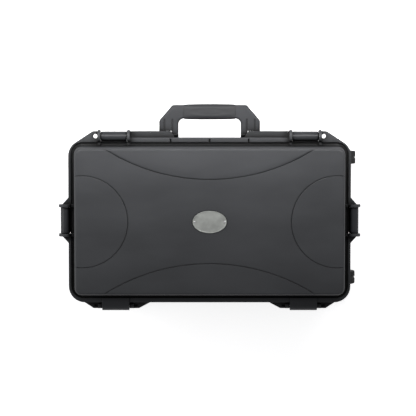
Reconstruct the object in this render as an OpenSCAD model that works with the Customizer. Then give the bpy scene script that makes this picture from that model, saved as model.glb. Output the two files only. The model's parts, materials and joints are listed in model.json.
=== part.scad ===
// Wheeled hard case for a drone: moulded base and hinged lid, four clamp latches, carry handle,
// two wheels, telescopic pull handle, pressure valve and fitted foam.
// The case lies on its back with the lid up: +X along the hinge, towards the wheels, +Y towards
// the carry handle, +Z out of the lid. The origin is the centre of the bounding box's bottom.

/* [Shell] */
// Length over the rim, along the hinge
rim_w = 704; // [640:1:760]
// Width over the rim, hinge side to handle side
rim_h = 412; // [372:1:470]
// Depth of the lid, parting plane to face
lid_depth = 66; // [54:1:80]
// Depth of the base, parting plane to back
base_depth = 170; // [156:1:206]
// Thickness of the moulded walls
wall = 4; // [3:0.5:5]
// Slope of the base walls, in degrees
base_draft = 2; // [1:0.25:2.5]

/* [Rim] */
// Thickness of the lid's outer lip
lip_t = 11; // [9:0.5:14]
// Thickness of the floor of the channel inside the lip
channel_t = 4; // [3:0.5:5]
// Width of the lid's lip along the two long sides
lip_long = 12; // [9:0.5:13]
// Width of the lid's lip along the two short sides
lip_short = 7; // [5:0.5:8]
// Thickness of the base flange
flange_t = 9; // [7:0.5:11]
// Distance from the rim's edge to the base wall
flange_w = 20; // [18:0.5:24]
// How far the corner guards stand out past the rim
guard_out = 16; // [12:0.5:18]
// Radius of the padlock holes in the upper corner guards
padlock_r = 5.5; // [4:0.25:6]

/* [Latches] */
// Length of a latch lever
latch_len = 64; // [52:1:70]
// Radius of a latch lever's round nose
latch_r = 12; // [10:0.5:12]
// Distance of the two long-side latches from the rim's ends
latch_from_end = 114; // [108:1:130]
// How far a long-side latch pivot stands out past the rim
latch_out_long = 3; // [2:0.5:4]
// How far a short-side latch pivot stands out past the rim
latch_out_short = 7.5; // [6:0.5:8]
// Radius of the latch pins
latch_pin_r = 2.5; // [2:0.25:3]

/* [Hinge] */
// Distance of the two hinge knuckles from the rim's ends
hinge_from_end = 117; // [110:1:130]
// Length of a lid knuckle
knuckle_len = 68; // [56:1:72]
// Radius of a lid knuckle
knuckle_r = 13; // [12:0.5:14]
// Radius of the hinge pins
hinge_pin_r = 3; // [2.5:0.25:3.5]

/* [Carry handle] */
// Width over the handle's legs
handle_w = 252; // [232:1:266]
// Width of one leg
leg_w = 48; // [42:1:50]
// Handle height above its pivot
handle_rise = 74; // [66:1:88]
// Height of the grip bar
grip_bar = 34; // [28:1:36]
// Thickness of the handle frame
handle_t = 19; // [16:0.5:19]
// Radius of the handle pins
handle_pin_r = 4; // [3:0.25:4.5]

/* [Wheels] */
// Radius of the wheels
wheel_r = 34; // [29:0.5:35]
// Width of the wheels
wheel_w = 33; // [28:1:34]
// Distance of a wheel's middle from the rim's long side
wheel_from_side = 51; // [50:1:62]
// Radius of the wheel axles
axle_r = 5; // [4:0.25:6]

/* [Pull handle] */
// Distance of the two tubes from the middle
tube_y = 86; // [78:1:92]
// Outer radius of the fixed tubes
tube_r = 11; // [10.5:0.25:12]
// Wall of every tube
tube_wall = 1.4; // [1.2:0.1:1.5]
// Distance from the far end of the fixed tubes to the rim's end
tube_stop = 133; // [128:1:220]
// Length of the pull grip
pull_w = 214; // [204:1:230]

/* [Foam] */
// Gap between the foam and the walls
foam_gap = 1; // [0.5:0.25:2]
// Depth of the drone's pocket in the foam tray
pocket_depth = 96; // [70:1:100]
// Least foam between a pocket and its neighbours
pocket_gap = 21; // [14:1:24]
// Height of a rubber foot
foot_h = 4; // [3:0.5:6]

/* [Hidden] */

// Fits
run_gap = 0.05;      // radial gap of a running fit
fixed_gap = 0.02;    // radial gap of a pin held still in its seat
slide_gap = 0.3;     // radial gap between telescoping tubes
side_gap = 1;        // end gap between a moving piece and its ears
claw_gap = 0.8;      // gap between a latch claw and the lip it hooks behind
seam = 0.2;          // gap between the closed lid and the base

// Rim
half_w = rim_w / 2;
half_h = rim_h / 2;
guard_y = half_h + guard_out;
guard_slope = 33.2;   // its slope, in degrees
guard_run = 61;       // length of a corner guard's sloping side, along the rim
guard_x = half_w - guard_run;
corner_y = guard_y - guard_run * tan(guard_slope);
corner_r = 40;

// Lid body: distance from the rim edge to the wall, at the rim and at the face
lid_in_low = [15, 20];
lid_in_high = [18.5, 24];
lid_round = 7;
lid_corner = 18;
lid_wall = wall - 0.5;
groove_w = 3.6;
groove_d = 1.9;
arc_long_r = 485;
arc_long_y = half_h - 102;
arc_short_r = 113;
arc_short_x = half_w - 150;

// Base body
base_corner = 24;
base_round = 10;
base_in_low = flange_w + base_depth * tan(base_draft);

// Latches: the pivot lies this far above the parting plane
latch_z = 8;
lip_cut = 9;
ear_t = 7;
ear_r = latch_r + 4.5;
latch_x = half_w - latch_from_end;
latch_half = latch_len / 2 + side_gap + ear_t;
padlock_x = latch_x + latch_half + padlock_r + 1;
padlock_y = half_h + 3.6;
arm_in = 1;
claw_t = 8;
claw_z = flange_t + latch_z + 4;

// Hinge: the axis lies on the parting plane
hinge_x = half_w - hinge_from_end;
hinge_y = -(half_h + 8);
bumper_x = hinge_x - knuckle_len / 2 - 24;
base_knuckle_r = 7.6;
base_knuckle_len = 10;
knuckle_clear = 0.6;
stand_y = hinge_y - knuckle_r;

// Carry handle
handle_z = -flange_t - 1.5 - handle_t / 2;
handle_y = half_h + 7;
handle_top = handle_y + handle_rise;
bar_y = handle_top - grip_bar;
hinge_end_r = 8.5;
lug_t = 12;
lug_r = hinge_end_r - 0.5;
lug_clear = 1;
flute_w = 5;
flute_d = 1.8;
lug_x = handle_w / 2 - leg_w / 2;
sleeve_w = 128;
sleeve_up = 2.4;

// Wheels
wheel_y = half_h - wheel_from_side;
wheel_clear = 2;
wheel_z = -base_depth - foot_h + 2 + wheel_r;
wheel_x = half_w + 24 - wheel_r;
wheel_drop = 3;
cheek_t = 6;
cheek_r = 10;
bush_t = 2;
tyre_t = 9;

// Pull handle
tube_z = -base_depth + 20;
tube_end = -(half_w - 31);
tube_len = half_w - tube_stop - tube_end;
channel_half = tube_r + 6;
channel_top = tube_z + tube_r + 1;
middle_r = tube_r - tube_wall - slide_gap;
inner_r = middle_r - tube_wall - slide_gap;
pull_x0 = -(half_w - 3);
pull_x1 = -(half_w - 21);
finger_half = 55;
finger_deep = 24;
foot_r = 14;
foot_y = max(half_h - 56, tube_y + channel_half + foot_r + 2);
button_w = 36;
button_travel = 3;
cover_t = 3;
screw_r = 2;
post_r = 3.6;
post_h = 5;
screw_step = (tube_len - 60) / 3;

// Pressure valve, in the middle of the handle side's wall
valve_z = -46;
valve_r = 8;
valve_stem_r = 3;
valve_flange_r = 11;
valve_y = half_h - flange_w + valve_z * tan(base_draft) - wall / 2;
valve_in = wall / 2 + 0.6;

// Seal in the lid's rim, and the nameplate
gasket_in = 14;
gasket_w = 4;
gasket_t = 2.6;
plate_w = 84;
plate_h = 55;
plate_t = 2.2;
plate_sunk = 0.98;
rivet_x = 37;
rivet_r = 1.5;
rivet_head_r = 3;

// Foam: the tray's half length and half width are taken at its bottom, where it is narrowest
tray_low = channel_top + wall + 1.5;
tray_top = -4;
tray_half = [half_w, half_h] - [1, 1] * (flange_w + wall + foam_gap - tray_low * tan(base_draft));
pocket_rim = 40;
cross_r = 92;
motor_r = 40;
drone_x = pocket_rim + motor_r + cross_r - tray_half.x;
charger_w = 88;
charger_x = tray_half.x - pocket_rim + 4 - charger_w / 2;
room_x0 = drone_x + cross_r + motor_r + pocket_gap;
room_x1 = charger_x - charger_w / 2 - pocket_gap;
battery_w = 36;
battery_step = battery_w + 10;
battery_n = max(1, floor((room_x1 - room_x0 + 10) / battery_step));

// Place of the case frame (rim centre, parting plane) in the part's own frame
mid_y = -(handle_top + sleeve_up + stand_y) / 2;
part_z = base_depth + foot_h;

// ---- outlines -------------------------------------------------------------------------------

function unit(v) = v / norm(v);
function turned(v, a) = [v.x * cos(a) - v.y * sin(a), v.x * sin(a) + v.y * cos(a)];

// Replaces the corner b, between a and c, by an arc of radius r
function corner_arc(a, b, c, r) =
    let (u = unit(a - b), v = unit(c - b), half = acos(u * v) / 2)
    let (centre = b + unit(u + v) * r / sin(half), start = b + u * r / tan(half))
    let (side = cross(b - a, c - b) > 0 ? 1 : -1, n = r > 15 ? 8 : r > 4 ? 5 : 3)
    [for (k = [0:n]) centre + turned(start - centre, side * (180 - 2 * half) * k / n)];

// Outline through points [x, y, corner radius]
function rounded(p) =
    let (n = len(p), xy = [for (q = p) [q.x, q.y]])
    [for (i = [0:n - 1]) each p[i].z == 0 ? [xy[i]]
        : corner_arc(xy[(i + n - 1) % n], xy[i], xy[(i + 1) % n], p[i].z)];

// The right half of an outline, from bottom to top, and its mirror image
function mirrored(p) = concat(p, [for (i = [len(p) - 1:-1:0]) [-p[i].x, p[i].y, p[i].z]]);

function box_outline(w, h, r) = rounded([[w, -h, r], [w, h, r], [-w, h, r], [-w, -h, r]]);

module slab(outline, low, high) {
    translate([0, 0, low]) linear_extrude(high - low) polygon(outline);
}

// Rounded box standing on its narrow end: each layer is [z, distance in from the rim, corner radius]
module layered(layers) {
    middle = (layers[0][0] + layers[len(layers) - 1][0]) / 2;
    hull()
        for (q = layers)
            translate([0, 0, q[0] > middle ? -0.01 : 0])
                slab(box_outline(half_w - q[1].x, half_h - q[1].y, q[2]), q[0], q[0] + 0.01);
}

module both_sides() {
    children();
    mirror([1, 0, 0]) children();
}

// Round bar along X, centred
module x_bar(r, len) {
    rotate([0, 90, 0]) cylinder(r = r, h = len, center = true, $fn = 48);
}

// Round bar along Y, centred
module y_bar(r, len) {
    rotate([90, 0, 0]) cylinder(r = r, h = len, center = true, $fn = 48);
}

// Moves the case frame to the part's frame
module place() {
    translate([0, mid_y, part_z]) children();
}

// Puts a latch, drawn with its axis along X and outward along +Y, on each of its four seats
module at_latch_top(side) {
    translate([side * latch_x, half_h + latch_out_long, latch_z]) children();
}

module at_latch_side(side) {
    translate([side * (half_w + latch_out_short), 0, latch_z]) rotate([0, 0, -90 * side]) children();
}

module at_latches() {
    for (side = [-1, 1]) {
        at_latch_top(side) children();
        at_latch_side(side) children();
    }
}

module at_wheels() {
    for (side = [-1, 1])
        translate([wheel_x, side * wheel_y - wheel_drop, wheel_z]) children();
}

// ---- base -----------------------------------------------------------------------------------

base_outline = rounded(mirrored([[bumper_x - 30, -half_h, 4], [bumper_x, -guard_y, 6],
    [guard_x, -guard_y, 8], [half_w, -corner_y, corner_r],
    [half_w, corner_y, corner_r], [guard_x, guard_y, 8], [handle_w / 2 - 29, guard_y, 3],
    [handle_w / 2 - 39, half_h, 2]]));

module base_body(inset, floor_z) {
    slope = tan(base_draft);
    low = floor_z + base_round;
    edge = [for (a = [0:22.5:90]) [low - base_round * sin(a), base_round * (1 - cos(a))]];
    layered(concat([[0, [1, 1] * (flange_w + inset), base_corner - inset]],
        [for (e = edge) [e[0], [1, 1] * (flange_w + inset - e[0] * slope + e[1]),
            base_corner - inset - e[1]]]));
}

// Stiffening rib under the flange, standing on the wall at the origin and reaching out along +Y
module flange_rib() {
    rotate([90, 0, 90]) linear_extrude(4, center = true)
        polygon([[-4, 1], [flange_w - 4, 1], [flange_w - 4, -3], [-4, -26]]);
}

module flange_ribs() {
    wall_y = half_h - flange_w;
    wall_x = half_w - flange_w;
    both_sides()
        for (in = [8, 38])
            translate([latch_x - latch_half - in, wall_y, -flange_t]) flange_rib();
    for (x = [-120:40:120])
        translate([x, -wall_y, -flange_t]) rotate([0, 0, 180]) flange_rib();
    for (side = [-1, 1], y = [-120, -85, 85, 120])
        translate([side * wall_x, y, -flange_t]) rotate([0, 0, -90 * side]) flange_rib();
}

// Brackets behind the rim that hold the carry handle: an outer ear and a lug inside the leg's fork
module handle_brackets() {
    low = half_h - flange_w - 5;
    both_sides() {
        for (q = [[lug_x, lug_t], [handle_w / 2 + side_gap + 5, 10]]) {
            translate([q[0], handle_y, handle_z]) x_bar(lug_r, q[1]);
            translate([q[0] - q[1] / 2, low, handle_z - 8]) cube([q[1], handle_y - low, 16]);
        }
    }
}

// Knuckles that stand each side of the lid's knuckle
module base_knuckles() {
    gap = knuckle_len / 2 + side_gap / 2 + base_knuckle_len / 2;
    both_sides()
        for (side = [-1, 1])
            translate([hinge_x + side * gap, hinge_y, 0]) {
                x_bar(base_knuckle_r, base_knuckle_len);
                translate([-base_knuckle_len / 2, -base_knuckle_r, -flange_t])
                    cube([base_knuckle_len, 2 * base_knuckle_r, flange_t]);
            }
}

// Feet on the hinge side, for standing the case up
module stand_feet() {
    foot = rounded([[-34, stand_y, 6], [34, stand_y, 6], [34, -half_h + base_in_low + 1, 0],
        [-34, -half_h + base_in_low + 1, 0]]);
    both_sides() {
        translate([hinge_x, 0, -base_depth + 24]) linear_extrude(24) polygon(foot);
        translate([hinge_x - 46, -guard_y, -flange_t - 22]) cube([92, guard_out + flange_w, 22]);
    }
}

// Fork plates that carry a wheel axle, about the wheel's centre
module wheel_cheeks() {
    out = wheel_w / 2 + wheel_clear;
    for (side = [-1, 1])
        translate([0, side * (out + cheek_t / 2), 0]) {
            y_bar(cheek_r, cheek_t);
            translate([-46, -cheek_t / 2, -18]) cube([46, cheek_t, 30]);
        }
}

module base_liners() {
    for (side = [-1, 1])
        translate([tube_end + 4, side * tube_y - channel_half - wall, -base_depth + 1])
            cube([tube_len + 10, 2 * (channel_half + wall), channel_top + wall + base_depth - 1]);
    translate([-half_w + flange_w + 10, -finger_half - wall, -base_depth + 1])
        cube([finger_deep + wall, 2 * (finger_half + wall), channel_top + wall + base_depth - 1]);
    at_wheels()
        translate([-wheel_r - wheel_clear - wall, -wheel_w / 2 - wheel_clear - wall,
            -base_depth - wheel_z + 1])
            cube([30, wheel_w + 2 * (wheel_clear + wall),
                base_depth + wheel_z - 1 + wheel_r + wheel_clear + wall]);
}

module base_hollows() {
    for (side = [-1, 1])
        translate([-half_w, side * tube_y - channel_half, -base_depth - 1])
            cube([half_w + tube_end + tube_len + 8, 2 * channel_half, channel_top + base_depth + 1]);
    translate([-half_w, -finger_half, -base_depth - 1])
        cube([flange_w + 10 + finger_deep, 2 * finger_half, channel_top + base_depth + 1]);
    at_wheels()
        translate([-wheel_r - wheel_clear, -wheel_w / 2 - wheel_clear, -wheel_r - 10])
            cube([2 * wheel_r + 20, wheel_w + 2 * wheel_clear, 2 * wheel_r + wheel_clear + 10]);
}

module base_shell() color([0.19, 0.2, 0.21]) place() {
    base_moulding();
    screw_posts();
}

module base_moulding() difference() {
    union() {
        difference() {
            union() {
                base_body(0, -base_depth);
                slab(base_outline, -flange_t, 0);
                flange_ribs();
                handle_brackets();
                stand_feet();
                at_wheels() wheel_cheeks();
            }
            base_body(wall, -base_depth + wall);
            slab(box_outline(half_w - flange_w - wall, half_h - flange_w - wall,
                base_corner - wall), -flange_t, 1);
        }
        base_knuckles();
        base_liners();
    }
    base_hollows();
    // slots for the latch arms and claws
    for (side = [-1, 1]) {
        at_latch_top(side) latch_slot(latch_out_long);
        at_latch_side(side) latch_slot(latch_out_short);
    }
    both_sides() {
        translate([hinge_x, hinge_y, 0]) {
            x_bar(knuckle_r + knuckle_clear, knuckle_len + side_gap);
            x_bar(hinge_pin_r + fixed_gap, knuckle_len + 4 * base_knuckle_len);
        }
        translate([handle_w / 2, handle_y, handle_z]) x_bar(handle_pin_r + fixed_gap, leg_w + 40);
        translate([padlock_x, padlock_y, 0])
            cylinder(r = padlock_r, h = 60, center = true, $fn = 48);
        // hollows that keep the feet at one wall thickness
        translate([hinge_x - 29, stand_y + 4, -base_depth + 20]) cube([58, guard_out - 4, 24]);
    }
    at_wheels() y_bar(axle_r + fixed_gap, wheel_w + 2 * (wheel_clear + cheek_t) + 2);
    translate([0, half_h - flange_w, valve_z]) y_bar(valve_r + fixed_gap, 40);
}

module latch_slot(out) {
    translate([-latch_len / 2 - 3, -out - lip_cut, -latch_z - flange_t - 1])
        cube([latch_len + 6, 60, flange_t + 2]);
}

module base_feet() color([0.05, 0.05, 0.05]) place() {
    for (x = [-1:1], y = [-1, 1])
        translate([x * (half_w - 110), y * foot_y, -part_z])
            cylinder(r1 = foot_r - 2, r2 = foot_r, h = foot_h, $fn = 48);
}

module wheel_axles() color([0.7, 0.71, 0.73]) place() at_wheels()
    y_bar(axle_r, wheel_w + 2 * (wheel_clear + cheek_t));

module axle_caps() color([0.06, 0.06, 0.06]) place() at_wheels()
    for (side = [-1, 1])
        translate([0, side * (wheel_w / 2 + wheel_clear + cheek_t + 1.5), 0]) y_bar(axle_r + 2.5, 3);

module hinge_pins() color([0.7, 0.71, 0.73]) place() both_sides()
    translate([hinge_x, hinge_y, 0])
        x_bar(hinge_pin_r, knuckle_len + side_gap + 2 * base_knuckle_len);

module handle_pins() color([0.7, 0.71, 0.73]) place() both_sides()
    translate([handle_w / 2 - leg_w + 4, handle_y, handle_z]) rotate([0, 90, 0])
        cylinder(r = handle_pin_r, h = leg_w + 7, $fn = 48);

// ---- pull handle ----------------------------------------------------------------------------

module at_screws() {
    for (side = [-1, 1], k = [0:3], edge = [-1, 1])
        translate([tube_end + 34 + k * screw_step, side * tube_y + edge * (channel_half - 3),
            -base_depth]) children();
}

// Posts on the sides of the channels that the covers are screwed to
module screw_posts() {
    at_screws() translate([0, 0, cover_t]) difference() {
        cylinder(r = post_r, h = post_h, $fn = 32);
        translate([0, 0, -1]) cylinder(r = screw_r + fixed_gap, h = post_h, $fn = 32);
    }
}

module fixed_tubes() color([0.72, 0.73, 0.75]) place()
    for (side = [-1, 1])
        translate([tube_end + 4, side * tube_y, tube_z]) rotate([0, 90, 0]) difference() {
            cylinder(r = tube_r, h = tube_len, $fn = 64);
            translate([0, 0, -1]) cylinder(r = tube_r - tube_wall, h = tube_len + 2, $fn = 64);
        }

// Block that fills a channel's section, from x = 0 to its length
module channel_block(side, x, len) {
    low = -base_depth + cover_t + 0.1;
    translate([x, side * tube_y - channel_half + 0.1, low])
        cube([len, 2 * channel_half - 0.2, channel_top - low - 0.1]);
}

// Guide blocks at the mouths of the channels: they seat the fixed tubes and guide the middle ones
module tube_guides() color([0.08, 0.08, 0.08]) place()
    for (side = [-1, 1]) difference() {
        channel_block(side, tube_end - 4, 16);
        translate([tube_end, side * tube_y, tube_z]) {
            x_bar(middle_r + run_gap, 40);
            translate([24, 0, 0]) x_bar(tube_r + fixed_gap, 40);
        }
    }

// Blocks that seat the far ends of the fixed tubes
module tube_blocks() color([0.08, 0.08, 0.08]) place()
    for (side = [-1, 1]) difference() {
        channel_block(side, tube_end + tube_len - 16, 22);
        translate([tube_end + tube_len - 16, side * tube_y, tube_z]) x_bar(tube_r + fixed_gap, 40);
    }

module tube_covers() color([0.16, 0.17, 0.18]) place() difference() {
    for (side = [-1, 1])
        translate([tube_end + 8, side * tube_y - channel_half + 0.3, -base_depth])
            cube([tube_len - 2, 2 * channel_half - 0.6, cover_t - 0.1]);
    at_screws() translate([0, 0, -1]) cylinder(r = screw_r + 0.3, h = cover_t + 2, $fn = 32);
}

module cover_screws() color([0.6, 0.6, 0.62]) place() at_screws() {
    translate([0, 0, -1.2]) difference() {
        cylinder(r = 3.4, h = 1.2, $fn = 32);
        for (a = [0, 90]) rotate([0, 0, a]) translate([-2, -0.4, -0.1]) cube([4, 0.8, 0.8]);
    }
    cylinder(r = screw_r, h = cover_t + post_h - 1.5, $fn = 32);
}

module middle_tubes() color([0.72, 0.73, 0.75]) place()
    for (side = [-1, 1])
        translate([tube_end - 4.5, side * tube_y, tube_z]) rotate([0, 90, 0]) difference() {
            cylinder(r = middle_r, h = tube_len - 24, $fn = 64);
            translate([0, 0, -1]) cylinder(r = middle_r - tube_wall, h = tube_len, $fn = 64);
        }

module inner_tubes() color([0.72, 0.73, 0.75]) place()
    for (side = [-1, 1])
        translate([pull_x1 - 8, side * tube_y, tube_z]) rotate([0, 90, 0]) difference() {
            cylinder(r = inner_r, h = tube_len - 40, $fn = 64);
            translate([0, 0, -1]) cylinder(r = inner_r - tube_wall, h = tube_len, $fn = 64);
        }

module pull_grip() color([0.1, 0.1, 0.11]) place() difference() {
    union() {
        translate([pull_x0, -pull_w / 2, tube_z - 14])
            cube([pull_x1 - pull_x0, pull_w, 28]);
        for (side = [-1, 1])
            translate([pull_x1 + 1, side * tube_y, tube_z]) x_bar(inner_r + 4, 4);
    }
    for (side = [-1, 1])
        translate([pull_x1 - 8, side * tube_y, tube_z]) rotate([0, 90, 0])
            cylinder(r = inner_r + fixed_gap, h = 40, $fn = 64);
    translate([pull_x0 - 1, -button_w / 2 - 0.5, tube_z - 7.5]) cube([10, button_w + 1, 15]);
    // seat of the soft pad on the finger side
    translate([pull_x1 - 3, -finger_half + 5, tube_z - 20]) cube([10, 2 * finger_half - 10, 40]);
}

module pull_pad() color([0.04, 0.04, 0.04]) place()
    translate([pull_x1 - 2.95, -finger_half + 5.2, tube_z - 14])
        cube([2.95, 2 * finger_half - 10.4, 28]);

module release_button() color([0.25, 0.26, 0.27]) place()
    translate([pull_x0 + 0.2, -button_w / 2, tube_z - 7])
        cube([8.6 - button_travel, button_w, 14]);

// ---- pressure valve -------------------------------------------------------------------------

// Sleeve through the wall, with a nut flange inside and a flange on its seal outside
module valve_body() color([0.08, 0.08, 0.08]) place()
    translate([0, valve_y, valve_z]) rotate([-90, 0, 0]) difference() {
        union() {
            translate([0, 0, -valve_in - 3]) cylinder(r = valve_flange_r + 1, h = 3, $fn = 48);
            translate([0, 0, -valve_in - 1]) cylinder(r = valve_r, h = 2 * valve_in + 3, $fn = 48);
            translate([0, 0, valve_in + 1.05]) cylinder(r = valve_flange_r, h = 1.5, $fn = 48);
        }
        translate([0, 0, -20]) cylinder(r = valve_stem_r + run_gap, h = 40, $fn = 48);
    }

module valve_seal() color([0.5, 0.1, 0.08]) place()
    translate([0, valve_y, valve_z]) rotate([-90, 0, 0]) difference() {
        translate([0, 0, valve_in]) cylinder(r = valve_flange_r, h = 1, $fn = 48);
        translate([0, 0, valve_in - 1]) cylinder(r = valve_r + fixed_gap, h = 3, $fn = 48);
    }

// Vent knob on its stem
module valve_knob() color([0.12, 0.12, 0.13]) place()
    translate([0, valve_y, valve_z]) rotate([-90, 0, 0]) {
        cylinder(r = valve_stem_r, h = valve_in + 4, $fn = 48);
        difference() {
            translate([0, 0, valve_in + 3]) cylinder(r = 12, h = 7, $fn = 48);
            for (a = [0:45:315])
                rotate([0, 0, a]) translate([13.4, 0, valve_in]) cylinder(r = 3, h = 14, $fn = 32);
        }
    }

// ---- foam -----------------------------------------------------------------------------------

module foam_underlay() color([0.12, 0.12, 0.13]) place()
    translate([-half_w + flange_w + 10 + finger_deep + wall + foam_gap,
        -tube_y + channel_half + wall + foam_gap, -base_depth + wall + 0.5])
        cube([2 * half_w - 2 * flange_w - 46 - finger_deep - wall,
            2 * (tube_y - channel_half - wall - foam_gap), tray_low + base_depth - wall - 1]);

// One pocket, centred on x and y
module pocket(x, y, w, h, r, depth) {
    translate([x, y, -depth]) linear_extrude(depth + 1) polygon(box_outline(w / 2, h / 2, r));
}

// A cross for the drone and its motors, its controller over its batteries, a charger and small parts
module foam_pockets() {
    room_x = (room_x0 + room_x1) / 2;
    translate([drone_x, 0, 0]) {
        for (a = [45, 135])
            rotate([0, 0, a]) cube([2 * cross_r * sqrt(2), 46, 2 * pocket_depth], center = true);
        for (sx = [-1, 1], sy = [-1, 1])
            translate([sx * cross_r, sy * cross_r, -pocket_depth])
                cylinder(r = motor_r, h = pocket_depth + 1, $fn = 48);
    }
    pocket(drone_x, 0, 224, 116, 20, pocket_depth);
    pocket(room_x, tray_half.y - 90, room_x1 - room_x0 - 6, 124, 14, pocket_depth - 16);
    for (k = [0:battery_n - 1])
        pocket(room_x + (k - (battery_n - 1) / 2) * battery_step, 84 - tray_half.y, battery_w, 96, 6,
            pocket_depth - 22);
    pocket(charger_x, 54, charger_w, 72, 12, pocket_depth - 30);
    pocket(charger_x, -56, charger_w, 92, 12, pocket_depth - 30);
}

module foam_tray() color([0.1, 0.1, 0.11]) place() difference() {
    inset = flange_w + wall + foam_gap;
    slope = tan(base_draft);
    layered([[tray_top, [1, 1] * (inset - tray_top * slope), 20],
        [tray_low, [1, 1] * (inset - tray_low * slope), 20]]);
    translate([0, 0, tray_top]) foam_pockets();
    at_wheels()
        translate([-wheel_r - wheel_clear - wall - 2, -wheel_w / 2 - wheel_clear - wall - 8, -60])
            cube([60, wheel_w + 2 * (wheel_clear + wall) + 16, 60 + wheel_r + wheel_clear + wall + 1]);
    translate([-20, half_h - flange_w - wall - 8, valve_z - 20]) cube([40, 20, 40]);
}

module lid_foam() color([0.12, 0.12, 0.13]) place()
    slab(box_outline(half_w - 30, half_h - 36, 14), 3, lid_depth - lid_wall - 0.5);

// ---- lid ------------------------------------------------------------------------------------

lid_outline = rounded(mirrored([[half_w, -half_h, corner_r], [half_w, -latch_half - 17, 3],
    [half_w + guard_out, 1 - latch_half, 2], [half_w + guard_out, latch_half - 1, 2],
    [half_w, latch_half + 17, 3], [half_w, corner_y, corner_r], [guard_x, guard_y, 8],
    [latch_x - latch_half, guard_y, 2], [latch_x - latch_half, half_h, 1]]));

module lid_body(inset, top) {
    low = top - lid_round;
    edge = [for (a = [0:22.5:90]) [low + lid_round * sin(a), lid_round * (1 - cos(a))]];
    layered(concat([[seam, lid_in_low + [1, 1] * inset, lid_corner - inset]],
        [for (e = edge) [e[0], lid_in_high + [1, 1] * (inset + e[1]),
            max(lid_corner - inset - e[1], 4)]]));
}

// Groove along a circle on the lid's face: steep on the circle, and sloping up on one side of it,
// outside for slope = 1 and inside for slope = -1
module face_groove(r, slope) {
    rotate_extrude($fn = 180) polygon([[r, lid_depth - groove_d], [r, lid_depth + 1],
        [r + slope * groove_w, lid_depth + 1], [r + slope * groove_w, lid_depth]]);
}

// Ears that carry a latch pin; reach is the way back to the lid's wall
module latch_ears(reach) {
    for (side = [-1, 1])
        translate([side * (latch_len / 2 + side_gap + ear_t / 2), 0, 0]) {
            intersection() {
                x_bar(ear_r, ear_t);
                translate([-50, -50, seam - latch_z]) cube([100, 100, 50]);
            }
            translate([-ear_t / 2, -reach, seam - latch_z]) cube([ear_t, reach, lip_t + 4 - seam]);
        }
}

module lid_knuckle() {
    x_bar(knuckle_r, knuckle_len);
    translate([-knuckle_len / 2, 0, seam]) cube([knuckle_len, 20, knuckle_r - seam]);
}

module lid_shell() color([0.24, 0.25, 0.26]) place() difference() {
    union() {
        lid_body(0, lid_depth);
        slab(lid_outline, seam, channel_t);
        difference() {
            slab(lid_outline, seam, lip_t);
            slab(box_outline(half_w - lip_short, half_h - lip_long, 28), 0, lip_t + 1);
        }
        for (side = [-1, 1]) {
            at_latch_top(side) latch_ears(latch_out_long + lid_in_low.y);
            at_latch_side(side) latch_ears(latch_out_short + lid_in_low.x);
        }
        both_sides() translate([hinge_x, hinge_y, 0]) lid_knuckle();
    }
    lid_body(lid_wall, lid_depth - lid_wall);
    slab(box_outline(half_w - lid_in_low.x - lid_wall, half_h - lid_in_low.y - lid_wall,
        lid_corner - lid_wall), -1, 0.5);
    // face grooves
    for (side = [-1, 1]) {
        translate([0, side * (arc_long_y + arc_long_r), 0]) face_groove(arc_long_r, -side);
        translate([side * (arc_short_x + arc_short_r), 0, 0]) face_groove(arc_short_r, 1);
    }
    // seat of the nameplate and its rivets
    translate([0, 0, lid_depth - 1]) linear_extrude(2) nameplate_oval(0.2);
    for (side = [-1, 1])
        translate([side * rivet_x, 0, lid_depth - 3]) cylinder(r = rivet_r + fixed_gap, h = 4, $fn = 32);
    // room for the latch noses
    for (side = [-1, 1]) {
        at_latch_top(side) translate([-latch_len / 2 - side_gap, -latch_r - 1, -latch_z - 1])
            cube([latch_len + 2 * side_gap, 60, 60]);
        at_latch_side(side) translate([-latch_len / 2 - side_gap, -latch_r - 1, -latch_z - 1])
            cube([latch_len + 2 * side_gap, 60, 60]);
    }
    at_latches() x_bar(latch_pin_r + fixed_gap, latch_len + 4 * ear_t);
    both_sides() {
        translate([hinge_x, hinge_y, 0]) x_bar(hinge_pin_r + run_gap, knuckle_len + 2);
        translate([padlock_x, padlock_y, 0])
            cylinder(r = padlock_r, h = 60, center = true, $fn = 48);
    }
    // drain slots in the lip
    for (x = [-97, 0, 97])
        translate([x - 1.9, half_h - 13.5, channel_t]) cube([3.8, 10.5, 20]);
    gasket_ring(gasket_w + 0.4, -1, gasket_t + 0.2);
}

module gasket_ring(w, low, high) {
    difference() {
        slab(box_outline(half_w - gasket_in + w / 2, half_h - gasket_in + w / 2, 28 + w / 2), low, high);
        slab(box_outline(half_w - gasket_in - w / 2, half_h - gasket_in - w / 2, 28 - w / 2),
            low - 1, high + 1);
    }
}

module lid_gasket() color([0.03, 0.03, 0.03]) place() gasket_ring(gasket_w, 0.3, gasket_t);

module nameplate_oval(more) {
    polygon([for (a = [0:6:354]) [(plate_w / 2 + more) * cos(a), (plate_h / 2 + more) * sin(a)]]);
}

// Pressed oval plate with a raised rim
module nameplate() color([0.62, 0.63, 0.62]) place() difference() {
    translate([0, 0, lid_depth - plate_sunk]) linear_extrude(plate_t) nameplate_oval(0);
    translate([0, 0, lid_depth - plate_sunk + plate_t - 0.7]) linear_extrude(1) nameplate_oval(-1.8);
    for (side = [-1, 1])
        translate([side * rivet_x, 0, lid_depth - 3])
            cylinder(r = rivet_r + fixed_gap, h = 6, $fn = 32);
}

module nameplate_rivets() color([0.85, 0.85, 0.85]) place()
    for (side = [-1, 1])
        translate([side * rivet_x, 0, lid_depth - 2.9]) {
            cylinder(r = rivet_r, h = 4, $fn = 32);
            translate([0, 0, 3.45]) cylinder(r1 = rivet_head_r, r2 = rivet_head_r - 0.8, h = 0.8, $fn = 32);
        }

// ---- latches --------------------------------------------------------------------------------

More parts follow.
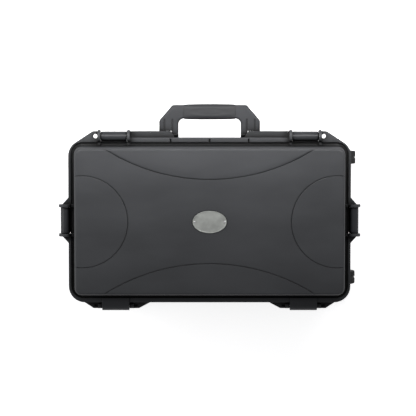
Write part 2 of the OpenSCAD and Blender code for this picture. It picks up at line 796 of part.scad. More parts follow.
module latch_lever(out) {
    claw_y = -out - lip_cut + claw_gap;
    difference() {
        union() {
            x_bar(latch_r, latch_len);
            translate([-latch_len / 2, arm_in, -claw_z - claw_t])
                cube([latch_len, latch_r - arm_in, claw_z + claw_t]);
            translate([-latch_len / 2, claw_y, -claw_z - claw_t])
                cube([latch_len, latch_r - claw_y, claw_t]);
        }
        x_bar(latch_pin_r + run_gap, latch_len + 2);
        // finger scoops in the outer face
        for (k = [-1:1])
            translate([k * 18, latch_r, -claw_z + 4]) cube([12, 3, 16], center = true);
    }
}

module latch_top_left() color([0.22, 0.23, 0.24]) place() at_latch_top(-1)
    latch_lever(latch_out_long);

module latch_top_right() color([0.22, 0.23, 0.24]) place() at_latch_top(1)
    latch_lever(latch_out_long);

module latch_left() color([0.22, 0.23, 0.24]) place() at_latch_side(-1)
    latch_lever(latch_out_short);

module latch_right() color([0.22, 0.23, 0.24]) place() at_latch_side(1)
    latch_lever(latch_out_short);

module latch_pins() color([0.7, 0.71, 0.73]) place() at_latches()
    x_bar(latch_pin_r, latch_len + 2 * (side_gap + ear_t));

// ---- carry handle ---------------------------------------------------------------------------

module handle_frame() color([0.2, 0.21, 0.22]) place() difference() {
    x1 = handle_w / 2;
    x0 = x1 - leg_w;
    outer = rounded(mirrored([[x1, handle_y, 0], [x1, handle_top - 38, 12],
        [x1 - 34, handle_top, 4]]));
    opening = rounded(mirrored([[x0, handle_y - 30, 0], [x0, bar_y, 14]]));
    translate([0, 0, handle_z - handle_t / 2]) union() {
        linear_extrude(handle_t) difference() {
            polygon(outer);
            polygon(opening);
        }
        both_sides() translate([x0, handle_y, handle_t / 2]) rotate([0, 90, 0])
            cylinder(r = hinge_end_r, h = leg_w, $fn = 48);
    }
    both_sides() {
        // slot for the bracket's lug
        translate([lug_x - lug_t / 2 - side_gap, handle_y - 20, handle_z - 20])
            cube([lug_t + 2 * side_gap, 20 + lug_r + lug_clear, 40]);
        translate([x0 - 1, handle_y, handle_z]) rotate([0, 90, 0])
            cylinder(r = handle_pin_r + run_gap, h = leg_w + 2, $fn = 48);
        // flutes down the front of the leg
        for (x = [-9, 11])
            translate([lug_x + x - flute_w / 2, handle_y + hinge_end_r, handle_z + handle_t / 2 - flute_d])
                cube([flute_w, bar_y - handle_y - hinge_end_r, flute_w]);
    }
}

// Soft sleeve moulded round the middle of the grip bar
module handle_sleeve() color([0.07, 0.07, 0.07]) place()
    translate([0, (bar_y + handle_top) / 2, handle_z]) rotate([0, 90, 0]) difference() {
        linear_extrude(sleeve_w, center = true)
            polygon(box_outline(handle_t / 2 + sleeve_up, grip_bar / 2 + sleeve_up, 5));
        linear_extrude(sleeve_w + 2, center = true)
            polygon(box_outline(handle_t / 2 + fixed_gap, grip_bar / 2 + fixed_gap, 0));
    }

// ---- wheels ---------------------------------------------------------------------------------

module wheel_hub() {
    rotate([90, 0, 0]) difference() {
        rotate_extrude($fn = 72) polygon([[axle_r + bush_t + fixed_gap, -wheel_w / 2],
            [axle_r + bush_t + 4, -wheel_w / 2], [axle_r + bush_t + 6, -wheel_w / 2 + 4],
            [wheel_r - tyre_t - 3, -wheel_w / 2 + 4], [wheel_r - tyre_t, -wheel_w / 2 + 1],
            [wheel_r - tyre_t, wheel_w / 2 - 1], [wheel_r - tyre_t - 3, wheel_w / 2 - 4],
            [axle_r + bush_t + 6, wheel_w / 2 - 4], [axle_r + bush_t + 4, wheel_w / 2],
            [axle_r + bush_t + fixed_gap, wheel_w / 2]]);
        for (a = [0:60:300])
            rotate([0, 0, a]) translate([(wheel_r - tyre_t + axle_r + bush_t) / 2 + 0.5, 0, 0])
                cylinder(r = 3.2, h = wheel_w + 2, center = true, $fn = 32);
    }
}

module wheel_tyre() {
    inner = wheel_r - tyre_t + fixed_gap;
    rotate([90, 0, 0]) rotate_extrude($fn = 72) polygon([[inner, -wheel_w / 2 + 1],
        [wheel_r - 3, -wheel_w / 2], [wheel_r, -wheel_w / 2 + 3], [wheel_r, -3],
        [wheel_r - 1.5, -1.5], [wheel_r - 1.5, 1.5], [wheel_r, 3], [wheel_r, wheel_w / 2 - 3],
        [wheel_r - 3, wheel_w / 2], [inner, wheel_w / 2 - 1]]);
}

module wheel_bush() {
    rotate([90, 0, 0]) difference() {
        cylinder(r = axle_r + bush_t, h = wheel_w, center = true, $fn = 48);
        cylinder(r = axle_r + run_gap, h = wheel_w + 2, center = true, $fn = 48);
    }
}

module at_wheel(side) {
    place() translate([wheel_x, side * wheel_y - wheel_drop, wheel_z]) children();
}

module wheel_hub_top() color([0.13, 0.13, 0.14]) at_wheel(1) wheel_hub();
module wheel_tyre_top() color([0.05, 0.05, 0.05]) at_wheel(1) wheel_tyre();
module wheel_bush_top() color([0.6, 0.58, 0.5]) at_wheel(1) wheel_bush();
module wheel_hub_bottom() color([0.13, 0.13, 0.14]) at_wheel(-1) wheel_hub();
module wheel_tyre_bottom() color([0.05, 0.05, 0.05]) at_wheel(-1) wheel_tyre();
module wheel_bush_bottom() color([0.6, 0.58, 0.5]) at_wheel(-1) wheel_bush();

base_shell();
base_feet();
foam_tray();
foam_underlay();
hinge_pins();
handle_pins();
wheel_axles();
axle_caps();
fixed_tubes();
tube_guides();
tube_blocks();
tube_covers();
cover_screws();
valve_body();
valve_seal();
lid_shell();
lid_gasket();
lid_foam();
nameplate();
nameplate_rivets();
latch_pins();
latch_top_left();
latch_top_right();
latch_left();
latch_right();
handle_frame();
handle_sleeve();
wheel_hub_top();
wheel_tyre_top();
wheel_bush_top();
wheel_hub_bottom();
wheel_tyre_bottom();
wheel_bush_bottom();
middle_tubes();
inner_tubes();
pull_grip();
pull_pad();
release_button();
valve_knob();
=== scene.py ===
import json
from math import copysign, cos, exp, hypot, pi, radians, sin

import bmesh
import bpy
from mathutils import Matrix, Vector
from mathutils.bvhtree import BVHTree
from mathutils.geometry import delaunay_2d_cdt


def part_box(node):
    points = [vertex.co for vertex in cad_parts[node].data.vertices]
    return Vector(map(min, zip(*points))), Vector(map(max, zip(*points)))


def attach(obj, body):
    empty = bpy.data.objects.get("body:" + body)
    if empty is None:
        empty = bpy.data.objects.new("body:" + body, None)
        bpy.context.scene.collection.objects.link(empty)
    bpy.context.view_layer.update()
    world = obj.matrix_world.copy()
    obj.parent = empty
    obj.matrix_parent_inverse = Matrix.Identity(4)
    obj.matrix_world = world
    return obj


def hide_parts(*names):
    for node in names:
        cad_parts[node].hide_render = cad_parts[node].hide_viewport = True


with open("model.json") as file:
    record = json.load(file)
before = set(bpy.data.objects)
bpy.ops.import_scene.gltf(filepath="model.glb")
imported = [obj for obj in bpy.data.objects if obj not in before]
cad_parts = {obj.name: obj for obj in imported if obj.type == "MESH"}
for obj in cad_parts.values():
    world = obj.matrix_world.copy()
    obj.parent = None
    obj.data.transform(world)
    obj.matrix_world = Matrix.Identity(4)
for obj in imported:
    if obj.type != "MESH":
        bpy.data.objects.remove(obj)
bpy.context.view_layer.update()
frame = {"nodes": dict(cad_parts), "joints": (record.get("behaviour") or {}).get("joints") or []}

# ---- lid -------------------------------------------------------------------------------------
# The lid is injection moulded in charcoal polypropylene: a box with a raised face, a rim with a
# channel inside it, the ears of the four latches and two hinge knuckles. Its edges carry the
# small radius of the mould, and its skin the mould's spark-eroded grain.


class Shade:
    """A socket of a material. Arithmetic on it adds Math nodes, and node() adds any other node."""

    def __init__(self, tree, socket=None):
        self.tree = tree
        self.socket = socket

    def node(self, kind, settings=None, values=None, output=0):
        made = self.tree.nodes.new("ShaderNode" + kind)
        for name, value in (settings or {}).items():
            setattr(made, name, value)
        for name, value in (values or {}).items():
            if isinstance(value, Shade):
                self.tree.links.new(value.socket, made.inputs[name])
            else:
                made.inputs[name].default_value = value
        return Shade(self.tree, made.outputs[output] if made.outputs else None)

    def math(self, operation, *values):
        return self.node("Math", {"operation": operation}, dict(enumerate(values)))

    def blend(self, low, high):
        """The colour between low and high that this value picks."""
        return self.node("Mix", {"data_type": "RGBA"}, {0: self, 6: low, 7: high}, output=2)

    def ramp(self, low, high):
        """0 below low, 1 above high, and straight between."""
        return self.node("MapRange", {"clamp": True}, {"Value": self, "From Min": low, "From Max": high})

    def noise(self, scale, detail=2.0):
        """Cloudy noise at these coordinates, with scale features to a metre."""
        return self.node("TexNoise", None, {"Vector": self, "Scale": scale, "Detail": detail})

    def cells(self, scale):
        """The distance to the nearest of many scattered points, as in the cells of a foam."""
        return self.node("TexVoronoi", None, {"Vector": self, "Scale": scale})

    def stretched(self, x, y, z):
        """These coordinates, scaled along each axis."""
        return self.node("VectorMath", {"operation": "MULTIPLY"}, {0: self, 1: (x, y, z)})

    def bump(self, distance):
        """The normal of a skin that this value raises by up to distance."""
        return self.node("Bump", None, {"Height": self, "Strength": 1.0, "Distance": distance})

    def __add__(self, other):
        return self.math("ADD", self, other)

    def __sub__(self, other):
        return self.math("SUBTRACT", self, other)

    def __rsub__(self, other):
        return self.math("SUBTRACT", other, self)

    def __mul__(self, other):
        return self.math("MULTIPLY", self, other)

    __radd__ = __add__
    __rmul__ = __mul__


def new_material(name):
    """A new material and the coordinates on the piece, in metres."""
    made = bpy.data.materials.new(name)
    made.use_nodes = True
    made.node_tree.nodes.clear()
    tree = Shade(made.node_tree)
    return made, tree.node("TexCoord", output="Object")


def surface(at, values):
    """Ends a material in one shader with these values and links on its sockets."""
    at.node("OutputMaterial", None, {"Surface": at.node("BsdfPrincipled", None, values)})


def edge_wear(at, width):
    """1 where an edge is within about width, 0 on the flats."""
    worn = at.node("Bevel", {"samples": 6}, {"Radius": width})
    flat = at.node("NewGeometry", output="Normal")
    along = at.node("VectorMath", {"operation": "DOT_PRODUCT"}, {0: worn, 1: flat}, output="Value")
    return (1.0 - along).ramp(0.01, 0.16)


def moulded_plastic(name, colour, roughness, grain=0.00006, polish=0.5):
    """Grained polypropylene: flow marks, a fine grain, edges polished by hands, and painted shade that
    darkens its corners and grooves.
    """
    edge_width = 0.0016
    corner_reach = 0.02
    made, at = new_material(name)
    flow = at.stretched(1.0, 2.6, 1.0).noise(5.0, 3.0).ramp(0.3, 0.7)
    grit = at.noise(1400.0, 3.0)
    pits = at.cells(900.0)
    scuffs = at.stretched(9.0, 1.0, 2.0).noise(46.0, 6.0).ramp(0.62, 0.8)
    rubbed = edge_wear(at, edge_width) * at.noise(60.0, 4.0).ramp(0.34, 0.6)
    dark = [c * 0.88 for c in colour] + [1.0]
    light = [c * 1.1 for c in colour] + [1.0]
    polished = [c * 1.75 + 0.008 for c in colour] + [1.0]
    painted_shade = [c * 0.07 for c in colour] + [1.0]
    # painted shade: the colour falls to a near-black where ambient occlusion finds walls close by, in
    # corners, grooves and channels
    open_air = at.node("AmbientOcclusion", {"samples": 8}, {"Distance": corner_reach}, output="AO")
    tone = (rubbed * polish + scuffs * 0.1).blend(flow.blend(dark, light), polished)
    surface(at, {"Base Color": open_air.ramp(0.64, 0.99).blend(painted_shade, tone),
                 "Roughness": roughness + (flow - 0.5) * 0.07 + (grit - 0.5) * 0.1 - rubbed * 0.1,
                 "Specular IOR Level": 0.26,
                 "Normal": (grit * 0.7 + pits * 0.6).bump(grain)})
    return made


def finished(piece, body, material, node):
    """Gives a piece its material and slot, and puts it on its body in place of its CAD node."""
    piece.data.materials.clear()
    piece.data.materials.append(material)
    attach(piece, body)
    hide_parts(node)


def applied(piece):
    """The piece with its modifiers made part of its mesh."""
    bpy.context.view_layer.update()
    made = bpy.data.meshes.new_from_object(piece.evaluated_get(bpy.context.evaluated_depsgraph_get()))
    piece.modifiers.clear()
    piece.data = made
    return piece


def smooth(piece, angle=38):
    """Smooth shading that keeps the flats flat and edges over this angle sharp."""
    piece.data.set_sharp_from_angle(angle=radians(angle))
    for face in piece.data.polygons:
        face.use_smooth = True
    weigh = piece.modifiers.new("flats", "WEIGHTED_NORMAL")
    weigh.keep_sharp = True
    return applied(piece)


def from_bmesh(name, built):
    """A new object from a finished bmesh."""
    mesh = bpy.data.meshes.new(name)
    built.to_mesh(mesh)
    built.free()
    piece = bpy.data.objects.new(name, mesh)
    bpy.context.scene.collection.objects.link(piece)
    return piece


def refill(built):
    """Fills each many-sided flat again with triangles that keep inside its outline."""
    for face in [f for f in built.faces if len(f.verts) > 12]:
        corners = list(face.verts)
        turn = face.normal.to_track_quat("Z", "Y")
        level = (turn.inverted() @ face.calc_center_median()).z
        flat = [(turn.inverted() @ corner.co).to_2d() for corner in corners]
        around = [list(range(len(flat)))]
        points, _, triangles, sources, _, _ = delaunay_2d_cdt(flat, [], around, 1, 1e-7)
        used = []
        for point, source in zip(points, sources):
            place = turn @ Vector((point.x, point.y, level))
            used.append(corners[source[0]] if source else built.verts.new(place))
        bmesh.ops.delete(built, geom=[face], context="FACES_ONLY")
        for triangle in triangles:
            ends = [used[k] for k in triangle]
            if not built.faces.get(ends):
                built.faces.new(ends)


def moulding(name, node, radius, segments=2):
    """The shape of a CAD node with its sharp edges rounded to the radius of the mould. A corner that
    the rounding throws off the shape is put back on it."""
    sharp_angle = radians(32)
    built = bmesh.new()
    built.from_mesh(frame["nodes"][node].data)
    bmesh.ops.remove_doubles(built, verts=built.verts, dist=0.000003)
    bmesh.ops.dissolve_limit(built, angle_limit=radians(0.5), verts=built.verts, edges=built.edges)
    skin = BVHTree.FromBMesh(built)
    sharp = [e for e in built.edges if len(e.link_faces) == 2 and e.calc_face_angle(0) > sharp_angle]
    bmesh.ops.bevel(built, geom=sharp, offset=radius, segments=segments, profile=0.5,
                    affect="EDGES", clamp_overlap=False)
    for vertex in built.verts:
        place, _, _, off = skin.find_nearest(vertex.co)
        if off > radius:
            vertex.co = place
    refill(built)
    return smooth(from_bmesh(name, built))


lid_plastic = moulded_plastic("lid_plastic", (0.047, 0.0485, 0.052), 0.5, polish=0.15)
lid = moulding("lid_moulding", "lid_shell", 0.0009)
finished(lid, "lid", lid_plastic, "lid_shell")

# ---- nameplate -------------------------------------------------------------------------------
# A blank oval plate of brushed steel with a raised rim, sunk in the middle of the lid and held by
# two round-headed rivets. The brush marks run along it.


def brushed_metal(name, colour, roughness, along):
    """Metal with fine scratches that run along one axis."""
    scratch_depth = 0.00001
    made, at = new_material(name)
    lines = at.stretched(*[60.0 if axis == along else 2600.0 for axis in "xyz"]).noise(1.0, 4.0)
    smear = at.noise(90.0, 3.0).ramp(0.35, 0.7)
    dull = [c * 0.8 for c in colour] + [1.0]
    bright = [min(c * 1.12, 1.0) for c in colour] + [1.0]
    surface(at, {"Base Color": (lines * 0.6 + smear * 0.4).blend(dull, bright), "Metallic": 1.0,
                 "Roughness": roughness + (lines - 0.5) * 0.2 + smear * 0.08,
                 "Normal": lines.bump(scratch_depth)})
    return made


plate_steel = brushed_metal("plate_steel", (0.5, 0.515, 0.49), 0.5, "x")
nameplate = moulding("oval_plate", "nameplate", 0.0003)
finished(nameplate, "lid", plate_steel, "nameplate")

rivet_steel = brushed_metal("rivet_steel", (0.92, 0.92, 0.9), 0.34, "z")
rivets = moulding("plate_rivets", "nameplate_rivets", 0.00025, 3)
finished(rivets, "lid", rivet_steel, "nameplate_rivets")

# ---- lid seal and lid foam -------------------------------------------------------------------
# A black rubber cord sits in a groove on the underside of the rim. The lid is lined with one
# block of convoluted foam, whose rounded cones hold the load down in the tray.


def rubber(name, colour, roughness, grain=0.00005, bloom=0.25):
    """Matt rubber with a fine skin and a faint grey bloom."""
    made, at = new_material(name)
    skin = at.noise(1900.0, 3.0)
    dust = at.noise(34.0, 5.0).ramp(0.42, 0.72)
    greyed = [c * 1.4 + 0.012 for c in colour] + [1.0]
    surface(at, {"Base Color": (dust * bloom).blend(list(colour) + [1.0], greyed),
                 "Roughness": roughness + dust * 0.08 - skin * 0.06,
                 "Specular IOR Level": 0.35, "Normal": skin.bump(grain)})
    return made


seal_rubber = rubber("seal_rubber", (0.014, 0.014, 0.015), 0.6)
gasket = moulding("lid_seal", "lid_gasket", 0.0006)
finished(gasket, "lid", seal_rubber, "lid_gasket")


def open_cell_foam(name, colour):
    """Polyurethane foam: a fine open cell, with painted shade in the hollows of its cells for the soft
    shadowed look of its skinless cut.
    """
    cell_depth = 0.0007
    made, at = new_material(name)
    cells = at.cells(620.0)
    fuzz = at.noise(2400.0, 3.0)
    patches = at.noise(16.0, 3.0).ramp(0.3, 0.7)
    shaded_hollow = [c * 0.55 for c in colour] + [1.0]
    proud = [c * 1.35 for c in colour] + [1.0]
    # painted shade: the colour is darker in the hollows of the cells, mixed with random fuzz and patches
    # of tone
    surface(at, {"Base Color": (cells * 0.55 + fuzz * 0.3 + patches * 0.15).blend(proud, shaded_hollow),
                 "Roughness": 0.93 + (fuzz - 0.5) * 0.08, "Specular IOR Level": 0.12,
                 "Sheen Weight": 0.35, "Sheen Roughness": 0.6,
                 "Normal": (1.0 - cells + fuzz * 0.4).bump(cell_depth)})
    return made


foam_grey = open_cell_foam("foam_grey", (0.034, 0.035, 0.038))
foam_low, foam_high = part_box("lid_foam")
cone_pitch = 0.034
cone_height = 0.018
flat_border = 0.01
grid_step = 0.0034
block_corner = 0.014


def drawn_in(along, half, pull):
    """A grid point's place along one axis, pulled in where it is past the start of a corner."""
    corner_start = copysign(half - block_corner, along)
    if abs(along) < half - block_corner:
        return along
    return corner_start + (along - corner_start) * pull


def block_of_cones(name):
    """The lid's foam: a grid whose underside rises and falls in cones, closed with flat sides."""
    columns = round((foam_high.x - foam_low.x) / grid_step)
    rows = round((foam_high.y - foam_low.y) / grid_step)
    half = (foam_high - foam_low) / 2
    middle = (foam_high + foam_low) / 2
    built = bmesh.new()
    under, top = [], []
    for j in range(rows + 1):
        for i in range(columns + 1):
            x = half.x * (2 * i / columns - 1)
            y = half.y * (2 * j / rows - 1)
            past_x = max(abs(x) - half.x + block_corner, 0)
            past_y = max(abs(y) - half.y + block_corner, 0)
            past = hypot(past_x, past_y)
            pull = min(1.0, block_corner / past) if past else 1.0
            wave = 0.25 * (1 + cos(2 * pi * x / cone_pitch)) * (1 + cos(2 * pi * y / cone_pitch))
            to_edge = min(half.x - abs(x), half.y - abs(y))
            hollow = cone_height * (1 - wave ** 0.8) * min(1.0, to_edge / flat_border)
            across = middle.x + drawn_in(x, half.x, pull)
            up = middle.y + drawn_in(y, half.y, pull)
            under.append(built.verts.new((across, up, foam_low.z + hollow)))
            top.append(built.verts.new((across, up, foam_high.z)))
    wide = columns + 1
    for j in range(rows):
        for i in range(columns):
            a = j * wide + i
            b = a + 1
            c = b + wide
            d = a + wide
            built.faces.new([under[a], under[d], under[c], under[b]])
            built.faces.new([top[a], top[b], top[c], top[d]])
    rim = (list(range(wide))
           + [j * wide + columns for j in range(1, rows + 1)]
           + [rows * wide + i for i in range(columns - 1, -1, -1)]
           + [j * wide for j in range(rows - 1, 0, -1)])
    for a, b in zip(rim, rim[1:] + rim[:1]):
        built.faces.new([under[a], under[b], top[b], top[a]])
    bmesh.ops.recalc_face_normals(built, faces=built.faces)
    return smooth(from_bmesh(name, built), 50)


lid_foam = block_of_cones("lid_foam_cones")
finished(lid_foam, "lid", foam_grey, "lid_foam")

# ---- latches ---------------------------------------------------------------------------------
# Each latch is one moulded clamp lever on a steel pin between two ears of the lid. Its round nose
# shines a little from hands, and its arm carries three finger scoops.

latch_plastic = moulded_plastic("latch_plastic", (0.03, 0.0312, 0.0345), 0.36, 0.00004)
for side in ("top_left", "top_right", "left", "right"):
    lever = moulding("lever_" + side, "latch_" + side, 0.0011, 3)
    finished(lever, "latch_" + side, latch_plastic, "latch_" + side)

turned_steel = brushed_metal("turned_steel", (0.56, 0.56, 0.57), 0.3, "x")
latch_pins = moulding("latch_pin_set", "latch_pins", 0.0004)
finished(latch_pins, "lid", turned_steel, "latch_pins")

# ---- base ------------------------------------------------------------------------------------
# The base is the same polypropylene as the lid, a shade darker: a drafted tub with a flange,
# ribs under the flange, brackets, hinge blocks, wheel houses and the channels of the pull handle.

case_plastic = moulded_plastic("case_plastic", (0.032, 0.0333, 0.0358), 0.52)
base = moulding("base_moulding", "base_shell", 0.0007)
finished(base, "base", case_plastic, "base_shell")

foot_rubber = rubber("foot_rubber", (0.02, 0.02, 0.021), 0.72, 0.00008)
feet = moulding("rubber_feet", "base_feet", 0.0009, 3)
finished(feet, "base", foot_rubber, "base_feet")

for node in ("hinge_pins", "handle_pins", "wheel_axles"):
    pin = moulding(node + "_turned", node, 0.0005)
    finished(pin, "base", turned_steel, node)

trim_plastic = moulded_plastic("trim_plastic", (0.022, 0.022, 0.024), 0.46, 0.00004)
caps = moulding("axle_end_caps", "axle_caps", 0.0008, 3)
finished(caps, "base", trim_plastic, "axle_caps")

# ---- carry handle ----------------------------------------------------------------------------
# A stiff frame with well rounded edges, forked over the two lugs of the base. A soft sleeve that
# swells in the middle is moulded round its bar, with a shallow oval thumb pad on each face.

handle_low, handle_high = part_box("handle_frame")
sleeve_low, sleeve_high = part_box("handle_sleeve")
pivot = Vector(next(j["pos_m"] for j in frame["joints"] if j["name"] == "handle_fold"))
frame_round = 0.0052
leg_width = 0.048
bar_height = 0.034
shoulder_round = 0.012
shoulder_drop = 0.043
brow_round = 0.006
brow_inset = 0.036
opening_round = 0.014
barrel_r = 0.0085
pin_r = 0.00405
fork_width = 0.014
fork_depth = 0.009
flute_places = (-0.009, 0.011)
flute_width = 0.005
flute_depth = 0.0018
past_skin = 0.01
past_leg = 0.002


def arc(centre, radius, start, end, steps):
    """Points along a round stretch of an outline, from one angle to another in degrees."""
    turns = [radians(start + (end - start) * k / steps) for k in range(steps + 1)]
    return [(centre[0] + radius * cos(turn), centre[1] + radius * sin(turn)) for turn in turns]


def plate(name, outline, low, high, rounding):
    """A flat piece cut to an outline in X and Y, with both of its edges rounded."""
    built = bmesh.new()
    bottom = built.faces.new([built.verts.new((x, y, low)) for x, y in outline])
    extruded = bmesh.ops.extrude_face_region(built, geom=[bottom])["geom"]
    raised = [part for part in extruded if isinstance(part, bmesh.types.BMVert)]
    bmesh.ops.translate(built, verts=raised, vec=(0, 0, high - low))
    bmesh.ops.recalc_face_normals(built, faces=built.faces)
    if rounding:
        ends = [e for e in built.edges if abs(e.verts[0].co.z - e.verts[1].co.z) < 1e-6]
        bmesh.ops.bevel(built, geom=ends, offset=rounding, segments=4, profile=0.5,
                        affect="EDGES", clamp_overlap=False)
    return from_bmesh(name, built)


def rod(middle, radius, length):
    """A round bar along X, round this middle."""
    built = bmesh.new()
    bmesh.ops.create_cone(built, cap_ends=True, segments=48, radius1=radius, radius2=radius, depth=length)
    piece = from_bmesh("rod", built)
    piece.data.transform(Vector((0, 0, 1)).rotation_difference(Vector((1, 0, 0))).to_matrix().to_4x4())
    for vertex in piece.data.vertices:
        vertex.co += middle
    return piece


def block(low, high):
    """A plain box between two corners, used as a cutter."""
    return plate("block", [(low[0], low[1]), (high[0], low[1]), (high[0], high[1]), (low[0], high[1])],
                 low[2], high[2], 0)


def carve(piece, operation, *tools):
    """Joins the tools to a piece or cuts them out of it."""
    for tool in tools:
        step = piece.modifiers.new("carve", "BOOLEAN")
        step.operation = operation
        step.solver = "EXACT"
        step.object = tool
        applied(piece)
        bpy.data.objects.remove(tool)


outer_x = handle_high.x
inner_x = outer_x - leg_width
top_y = handle_high.y
opening_y = top_y - bar_height
right_side = ([(inner_x, pivot.y), (outer_x, pivot.y)]
              + arc((outer_x - shoulder_round, top_y - shoulder_drop), shoulder_round, 0, 45, 4)
              + arc((outer_x - brow_inset, top_y - brow_round), brow_round, 45, 90, 3))
inside = arc((inner_x - opening_round, opening_y - opening_round), opening_round, 90, 0, 8)
outline = (right_side + [(-x, y) for x, y in reversed(right_side)]
           + [(-x, y) for x, y in reversed(inside)] + inside)
carry_handle = plate("carry_handle", outline, handle_low.z, handle_high.z, frame_round)
for sign in (-1, 1):
    leg_middle = Vector((sign * (outer_x - leg_width / 2), pivot.y, pivot.z))
    carve(carry_handle, "UNION", rod(leg_middle, barrel_r, leg_width))
    carve(carry_handle, "DIFFERENCE", rod(leg_middle, pin_r, leg_width + 2 * past_leg),
          block(leg_middle - Vector((fork_width / 2, 2 * past_skin, 2 * past_skin)),
                leg_middle + Vector((fork_width / 2, fork_depth, 2 * past_skin))))
    for place in flute_places:
        x = leg_middle.x + sign * place
        carve(carry_handle, "DIFFERENCE",
              block((x - flute_width / 2, pivot.y + barrel_r, handle_high.z - flute_depth),
                    (x + flute_width / 2, opening_y, handle_high.z + past_skin)))
handle_plastic = moulded_plastic("handle_plastic", (0.03, 0.031, 0.0345), 0.42, 0.00005)
finished(smooth(carry_handle), "handle", handle_plastic, "handle_frame")

sleeve_half = (sleeve_high - sleeve_low) / 2
sleeve_mid = (sleeve_high + sleeve_low) / 2
end_wall = 0.0006
end_half_y = bar_height / 2 + end_wall
end_half_z = (handle_high.z - handle_low.z) / 2 + end_wall
thumb_half_length = 0.044
thumb_half_width = 0.0085
thumb_dip = 0.0008
stations = 90


def sleeve_ring(x):
    """The sleeve's section at a place along the bar: nearly the bar's at its ends, fuller between."""
    swell = (1 - min(1.0, abs(x) / sleeve_half.x) ** 2.6) ** 0.5
    half_y = end_half_y + (sleeve_half.y - end_half_y) * swell
    half_z = end_half_z + (sleeve_half.z - end_half_z) * swell
    squareness = 2 / (2.7 + 2.6 * (1 - swell))
    ring = []
    for k in range(64):
        angle = 2 * pi * k / 64
        y = copysign(half_y * abs(cos(angle)) ** squareness, cos(angle))
        z = copysign(half_z * abs(sin(angle)) ** squareness, sin(angle))
        oval = (x / thumb_half_length) ** 2 + (y / thumb_half_width) ** 2
        dip = thumb_dip / (1 + exp((oval - 1) * 9)) if abs(z) > half_z * 0.9 else 0.0
        ring.append((sleeve_mid.x + x, sleeve_mid.y + y, sleeve_mid.z + z - copysign(dip, z)))
    return ring


def closed_skin(name, rings):
    """A closed skin over rings that all have the same number of points."""
    built = bmesh.new()
    loops = [[built.verts.new(p) for p in ring] for ring in rings]
    for one, two in zip(loops, loops[1:]):
        for k in range(len(one)):
            n = (k + 1) % len(one)
            built.faces.new([one[k], one[n], two[n], two[k]])
    built.faces.new(loops[0][::-1])
    built.faces.new(loops[-1])
    bmesh.ops.recalc_face_normals(built, faces=built.faces)
    return from_bmesh(name, built)


sleeve_rings = [sleeve_ring(sleeve_half.x * (2 * k / stations - 1)) for k in range(stations + 1)]
grip_sleeve = smooth(closed_skin("grip_sleeve", sleeve_rings), 55)
grip_rubber = rubber("grip_rubber", (0.021, 0.0215, 0.024), 0.56, 0.00006)
finished(grip_sleeve, "handle", grip_rubber, "handle_sleeve")

# ---- wheels ----------------------------------------------------------------------------------
# Two solid wheels on steel axles: a moulded hub with a ring of lightening holes, a brass bush, and
# a hard rubber tyre, dusty from use, with a groove round its tread and slanted sipes beside it.

tyre_rubber = rubber("tyre_rubber", (0.018, 0.018, 0.018), 0.7, 0.0001, 0.5)
bush_brass = brushed_metal("bush_brass", (0.62, 0.48, 0.25), 0.3, "y")
tyre_wall = 0.009
fit_gap = 0.00002
bead_round = 0.001
shoulder_width = 0.003
crown_height = 0.0008
crown_width = 0.0009
groove_depth = 0.0015
groove_floor = 0.0018
groove_mouth = 0.003
sipe_start = 0.0042
sipe_end = 0.008
sipe_depth = 0.0012
sipe_slant = 400
sipes = 44
steps_to_sipe = 6


def tyre(name, node):
    """A tyre: a turned section, with slanted sipes pressed in its tread beside the groove."""
    low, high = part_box(node)
    centre = (low + high) / 2
    radius = (high.x - low.x) / 2
    half = (high.y - low.y) / 2
    bore = radius - tyre_wall + fit_gap
    one_side = [(radius - groove_depth, groove_floor), (radius, groove_mouth), (radius, sipe_start),
                (radius, half - sipe_end), (radius, half - shoulder_width),
                (radius - crown_height, half - crown_width), (radius - shoulder_width, half),
                (bore, half - bead_round)]
    section = [(r, -y) for r, y in reversed(one_side)] + one_side
    built = bmesh.new()
    loops = []
    for step in range(sipes * steps_to_sipe):
        angle = 2 * pi * step / (sipes * steps_to_sipe)
        loop = []
        for r, y in section:
            on_tread = r == radius and abs(y) >= sipe_start
            in_sipe = on_tread and (step + round(abs(y) * sipe_slant)) % steps_to_sipe == 0
            reach = r - sipe_depth if in_sipe else r
            place = (centre.x + reach * cos(angle), centre.y + y, centre.z + reach * sin(angle))
            loop.append(built.verts.new(place))
        loops.append(loop)
    for one, two in zip(loops, loops[1:] + loops[:1]):
        for k in range(len(section)):
            n = (k + 1) % len(section)
            built.faces.new([one[k], one[n], two[n], two[k]])
    bmesh.ops.recalc_face_normals(built, faces=built.faces)
    return smooth(from_bmesh(name, built), 30)


for place in ("top", "bottom"):
    wheel = "wheel_" + place
    wheel_tyre = tyre("tyre_" + place, "wheel_tyre_" + place)
    finished(wheel_tyre, wheel, tyre_rubber, "wheel_tyre_" + place)
    hub = moulding("hub_" + place, "wheel_hub_" + place, 0.0005)
    finished(hub, wheel, trim_plastic, "wheel_hub_" + place)
    bush = moulding("bush_" + place, "wheel_bush_" + place, 0.0003)
    finished(bush, wheel, bush_brass, "wheel_bush_" + place)

# ---- pull handle -----------------------------------------------------------------------------
# Two sets of three telescoping tubes of anodised alloy run in channels under the base, behind
# screwed covers. Their grip carries a ribbed rubber pad for the fingers and a release button.

tube_alloy = brushed_metal("tube_alloy", (0.6, 0.61, 0.63), 0.34, "x")
for stage, body in (("fixed_tubes", "base"), ("middle_tubes", "middle_stage"),
                    ("inner_tubes", "pull_handle")):
    tubes = moulding(stage + "_drawn", stage, 0.0002, 1)
    finished(tubes, body, tube_alloy, stage)
for node in ("tube_guides", "tube_blocks"):
    guides = moulding(node + "_moulded", node, 0.0005)
    finished(guides, "base", trim_plastic, node)
covers = moulding("channel_covers", "tube_covers", 0.0005)
finished(covers, "base", case_plastic, "tube_covers")
screws = moulding("cover_screw_set", "cover_screws", 0.00015, 1)
finished(screws, "base", turned_steel, "cover_screws")
pull_bar = moulding("pull_bar", "pull_grip", 0.0014, 3)
finished(pull_bar, "pull_handle", trim_plastic, "pull_grip")

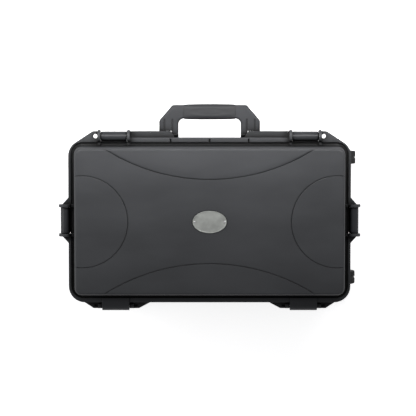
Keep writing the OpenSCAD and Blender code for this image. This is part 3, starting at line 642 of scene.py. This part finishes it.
pad_low, pad_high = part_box("pull_pad")
rib_pitch = 0.005
rib_depth = 0.0013
pad_length = pad_high.y - pad_low.y
rib_count = round(pad_length / rib_pitch)
rib_steps = rib_count * 8
ribs = [(pad_low.x, pad_low.y)]
for k in range(rib_steps + 1):
    along = k / rib_steps
    crest = abs(sin(pi * rib_count * along)) ** 0.6
    ribs.append((pad_high.x - rib_depth * (1 - crest), pad_low.y + pad_length * along))
ribs.append((pad_low.x, pad_high.y))
finger_pad = smooth(plate("finger_pad", ribs, pad_low.z, pad_high.z, 0), 40)
finished(finger_pad, "pull_handle", grip_rubber, "pull_pad")

button_plastic = moulded_plastic("button_plastic", (0.11, 0.112, 0.118), 0.3, 0.00002)
button = moulding("thumb_button", "release_button", 0.0012, 3)
finished(button, "release_button", button_plastic, "release_button")

# ---- pressure valve --------------------------------------------------------------------------
# A sleeve through the wall behind the carry handle, sealed by a rubber ring, with a fluted knob
# that vents the case when the air pressure has changed.

valve_sleeve = moulding("valve_sleeve", "valve_body", 0.0004)
finished(valve_sleeve, "base", trim_plastic, "valve_body")
valve_ring = moulding("valve_ring", "valve_seal", 0.0002)
finished(valve_ring, "base", seal_rubber, "valve_seal")
vent_knob = moulding("vent_knob", "valve_knob", 0.0006, 3)
finished(vent_knob, "valve_knob", trim_plastic, "valve_knob")

# ---- foam in the base ------------------------------------------------------------------------
# A thick tray of firm foam with water-cut pockets: a cross for the drone and its motors, and
# pockets for the controller, batteries, charger and small parts. A slab fills the space below it.

tray = moulding("foam_tray_cut", "foam_tray", 0.0016, 3)
finished(tray, "base", foam_grey, "foam_tray")
slab = moulding("foam_slab", "foam_underlay", 0.0016, 3)
finished(slab, "base", foam_grey, "foam_underlay")

# ---- floor, light and camera -----------------------------------------------------------------
# A pale glowing sheet under the case, a long soft light close above the handle side and a weaker
# one on the left, and a camera that looks down on the lid from a little towards the handle side.

floor_tone, floor_at = new_material("pale_floor")
surface(floor_at, {"Base Color": floor_at.noise(3.0).blend((0.9, 0.9, 0.9, 1), (0.93, 0.93, 0.93, 1)),
                   "Roughness": 0.7, "Emission Color": (1.0, 1.0, 1.0, 1), "Emission Strength": 0.75})
bpy.ops.mesh.primitive_plane_add(size=60.0)
floor = bpy.context.object
floor.name = "floor"
floor.data.materials.append(floor_tone)
floor.visible_glossy = False


def soft_light(name, place, aim, width, height, power):
    """A rectangular softbox that the camera can't see."""
    light = bpy.data.lights.new(name, "AREA")
    light.shape = "RECTANGLE"
    light.size = width
    light.size_y = height
    light.energy = power
    lamp = bpy.data.objects.new(name, light)
    lamp.location = place
    lamp.visible_camera = False
    lamp.rotation_euler = (Vector(aim) - Vector(place)).to_track_quat("-Z", "Y").to_euler()
    bpy.context.scene.collection.objects.link(lamp)


soft_light("top_softbox", (0.05, 0.4, 0.62), aim=(0.05, 0.38, 0.0), width=1.3, height=0.25, power=8.0)
soft_light("side_softbox", (-1.5, 0.1, 0.9), aim=(-0.2, 0.0, 0.15), width=0.7, height=0.7, power=6.0)

# the sky is a dim even grey, paling to white just above the far edge of the sheet
world = bpy.data.worlds.new("studio")
world.use_nodes = True
world.node_tree.nodes.clear()
sky = Shade(world.node_tree)
upward = sky.node("SeparateXYZ", None, {0: sky.node("TexCoord", output="Generated")}, output="Z")
glow = upward.ramp(0.01, 0.2).blend((0.9, 0.9, 0.91, 1), (0.24, 0.24, 0.245, 1))
sky.node("OutputWorld", None, {"Surface": sky.node("Background", None, {"Color": glow, "Strength": 1.0})})
bpy.context.scene.world = world
bpy.context.scene.view_settings.view_transform = "Standard"

look_at = Vector((-0.004, -0.0012, 0.174))
tilt = radians(4)
view_distance = 4.0
camera = bpy.data.objects.new("camera", bpy.data.cameras.new("camera"))
camera.data.lens = 138.5
camera.location = look_at + view_distance * Vector((0, sin(tilt), cos(tilt)))
camera.rotation_euler = (-tilt, 0, 0)
bpy.context.scene.collection.objects.link(camera)
bpy.context.scene.camera = camera
